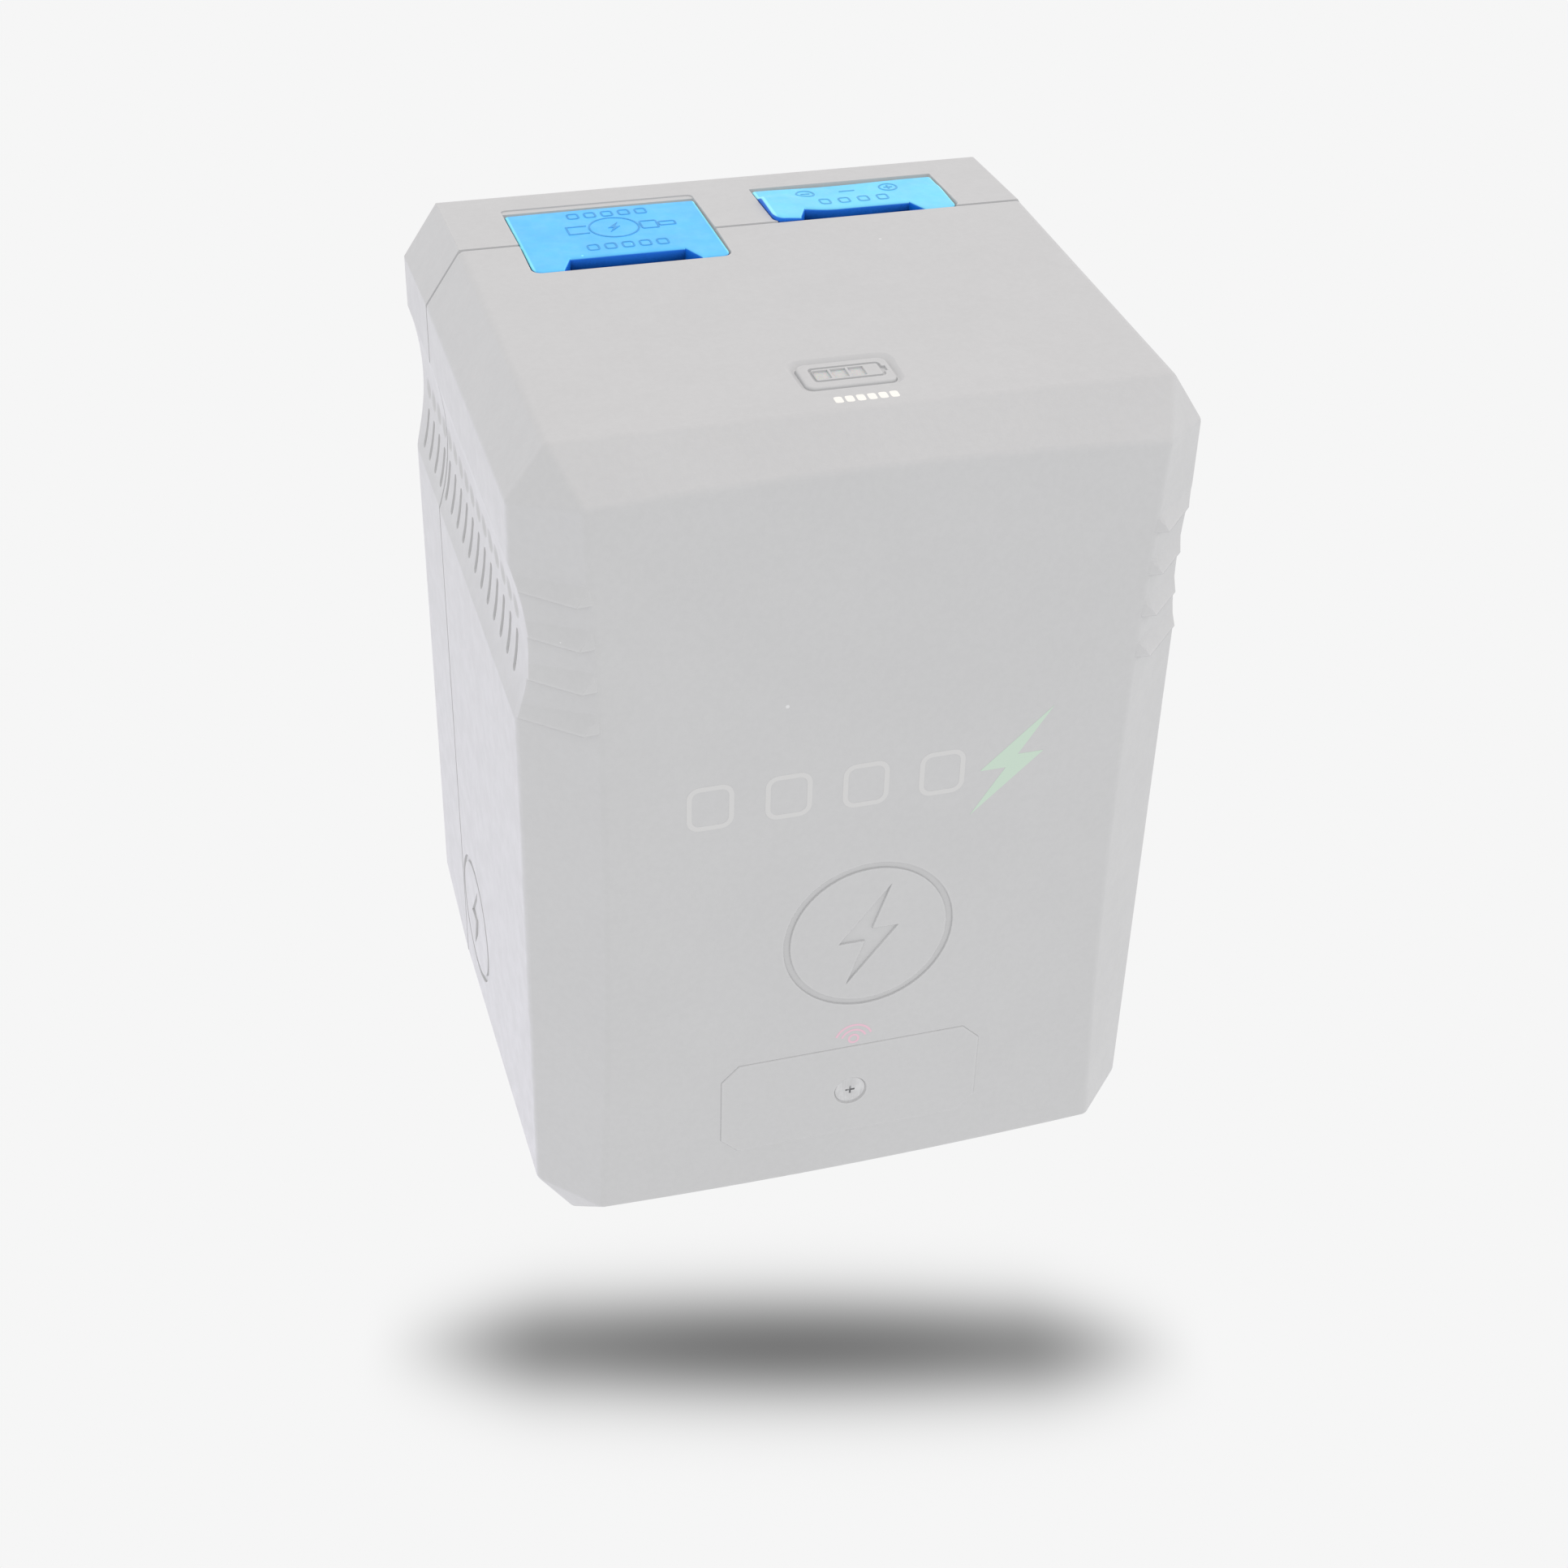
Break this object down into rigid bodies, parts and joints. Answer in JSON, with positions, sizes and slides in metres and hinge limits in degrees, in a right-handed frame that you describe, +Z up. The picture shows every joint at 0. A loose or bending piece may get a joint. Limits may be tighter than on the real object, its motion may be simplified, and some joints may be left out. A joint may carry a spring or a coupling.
{
  "type": "camera battery pack",
  "caption": "Compact rechargeable camera battery pack with wedge mount, rubber port flaps, charge gauge button and grip scoops.",
  "frame": {"origin": "on the flat base, below the middle of the body's depth and width", "axes": "+Z up, +Y from the front face towards the wedge, +X to the right seen from the front"},
  "size_m": [0.071, 0.0707, 0.099],
  "materials": {
    "housing": "fine moulded texture",
    "port_flap": "satin silicone rubber",
    "black_plastic": "moulded, matt",
    "gasket": "soft black rubber",
    "steel": "zinc plated",
    "black_steel": "black oxide",
    "brass": "turned",
    "gold": "gold plated contact",
    "clear_window": "frosted light guide",
    "white_plastic": "moulded",
    "board": "green solder mask",
    "chip": "moulded epoxy",
    "ferrite": "sintered ferrite",
    "can": "sleeved aluminium can",
    "led": "clear lens",
    "cell_wrap": "sleeved steel can; a cell as a whole is about as dense as aluminium",
    "holder": "flame retardant plastic",
    "nickel": "rolled nickel strip",
    "foam": "closed cell foam",
    "fibre": "insulating fibre paper",
    "lead_red": "silicone insulation",
    "lead_black": "silicone insulation",
    "tag": "laminated tag",
    "wedge_plastic": "glass filled nylon"
  },
  "bodies": {
    "root": {"front_shell": "housing", "rear_shell": "housing", "shell_gasket": "gasket", "shell_screws": "black_steel", "shell_inserts": "brass", "port_tray": "black_plastic", "usb_a_socket": "steel", "usb_a_tongue": "white_plastic", "usb_c_socket": "steel", "usb_c_tongue": "black_plastic", "dtap_socket": "black_plastic", "dtap_contacts": "brass", "tact_switch": "black_plastic", "tag_cover_plate": "housing", "tag_cover_screw": "steel", "tag_insert": "brass", "wireless_tag": "tag", "v_mount_wedge": "wedge_plastic", "wedge_screws": "black_steel", "contact_block": "black_plastic", "power_contacts": "gold", "data_contacts": "gold", "battery_cells": "cell_wrap", "lower_cell_holder": "holder", "upper_cell_holder": "holder", "nickel_links": "nickel", "foam_pads": "foam", "insulator_sheets": "fibre", "main_board": "board", "board_screws": "steel", "board_chips": "chip", "power_transistors": "chip", "power_inductor": "ferrite", "capacitors": "can", "gauge_leds": "led", "balance_connector": "white_plastic", "power_lead_positive": "lead_red", "power_lead_negative": "lead_black"},
    "usb_flap": {"usb_port_flap": "port_flap"},
    "dtap_flap": {"dtap_port_flap": "port_flap"},
    "button": {"status_button": "housing", "gauge_windows": "clear_window", "switch_plunger": "white_plastic"}
  },
  "joints": [
    {"name": "usb_flap_hinge", "type": "hinge", "parent": "root", "child": "usb_flap", "pos_m": [-0.0144, 0.0248, 0.09782], "axis": [-1, 0, 0], "range_deg": [0, 95]},
    {"name": "dtap_flap_hinge", "type": "hinge", "parent": "root", "child": "dtap_flap", "pos_m": [0.0139, 0.0257, 0.0978], "axis": [-1, 0, 0], "range_deg": [0, 95]},
    {"name": "button_press", "type": "slide", "parent": "root", "child": "button", "axis": [0, 0, -1], "range_m": [0, 0.0006], "stiffness_N_per_m": 1500}
  ]
}
